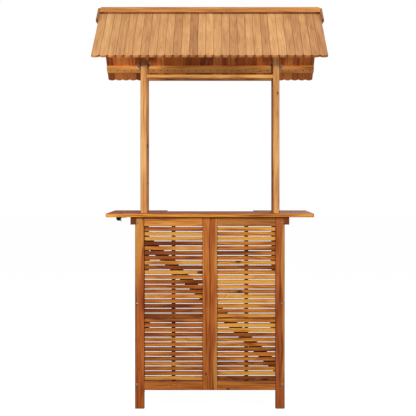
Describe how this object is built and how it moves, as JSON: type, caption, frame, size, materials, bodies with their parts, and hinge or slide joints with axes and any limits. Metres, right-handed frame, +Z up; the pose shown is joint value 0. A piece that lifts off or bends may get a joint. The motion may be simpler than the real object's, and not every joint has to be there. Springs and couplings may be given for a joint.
{
  "type": "outdoor bar table with roof",
  "caption": "Free-standing wooden bar with a slatted cabinet, an overhanging board counter and a pitched slat roof carried on posts.",
  "frame": {"origin": "on the floor under the middle of the roof ridge, which is the middle of the part's base", "axes": "+X along the counter to the guest's right, +Y from the guest's side to the server's side, +Z up"},
  "size_m": [1.228, 1.06, 2.173],
  "materials": {
    "front_timber": "oiled acacia, straight grain, eased edges",
    "slat_wood": "oiled acacia slats of mixed tones",
    "side_timber": "oiled acacia in a darker tone",
    "counter_wood": "oiled acacia boards with rounded edges",
    "shelf_wood": "oiled acacia boards, planed",
    "post_wood": "oiled acacia, light heartwood",
    "roof_wood": "weathered oiled acacia slats",
    "roof_frame_wood": "oiled acacia, sawn and sanded",
    "zinc_steel": "zinc-plated steel, slightly dulled",
    "opener_metal": "black coated steel"
  },
  "bodies": {
    "root": {"front_leg_left": "front_timber", "front_leg_right": "front_timber", "middle_stile_left": "front_timber", "middle_stile_right": "front_timber", "front_top_rail_left": "front_timber", "front_top_rail_right": "front_timber", "front_bottom_rail_left": "front_timber", "front_bottom_rail_right": "front_timber", "front_slats_left": "slat_wood", "front_slats_right": "slat_wood", "slat_battens": "slat_wood", "diagonal_brace": "slat_wood", "side_slats_left": "slat_wood", "side_slats_right": "slat_wood", "side_battens_left": "slat_wood", "side_battens_right": "slat_wood", "side_front_leg_left": "side_timber", "side_front_leg_right": "side_timber", "rear_leg_left": "side_timber", "rear_leg_right": "side_timber", "side_top_rail_left": "side_timber", "side_top_rail_right": "side_timber", "side_bottom_rail_left": "side_timber", "side_bottom_rail_right": "side_timber", "mid_shelf_boards": "shelf_wood", "bottom_shelf_boards": "shelf_wood", "mid_shelf_bearers": "shelf_wood", "bottom_shelf_bearers": "shelf_wood", "counter_front_board": "counter_wood", "counter_boards": "counter_wood", "wing_boards_left": "counter_wood", "wing_boards_right": "counter_wood", "counter_outer_battens": "counter_wood", "counter_inner_battens": "counter_wood", "post_front_left": "post_wood", "post_front_right": "post_wood", "post_rear_left": "post_wood", "post_rear_right": "post_wood", "front_beam": "post_wood", "rear_beam": "post_wood", "tie_board_left": "roof_frame_wood", "tie_board_right": "roof_frame_wood", "rafter_front_left": "roof_frame_wood", "rafter_front_right": "roof_frame_wood", "rafter_back_left": "roof_frame_wood", "rafter_back_right": "roof_frame_wood", "front_purlins": "roof_frame_wood", "back_purlins": "roof_frame_wood", "front_roof_slats": "roof_wood", "back_roof_slats": "roof_wood", "ridge_board_front": "roof_wood", "ridge_board_back": "roof_wood", "gable_plate_left": "roof_wood", "gable_plate_right": "roof_wood", "leg_bolts": "zinc_steel", "barrel_nuts": "zinc_steel", "post_bolts": "zinc_steel", "roof_bolts": "zinc_steel", "bolt_nuts": "zinc_steel", "bottle_opener": "opener_metal"}
  },
  "joints": []
}
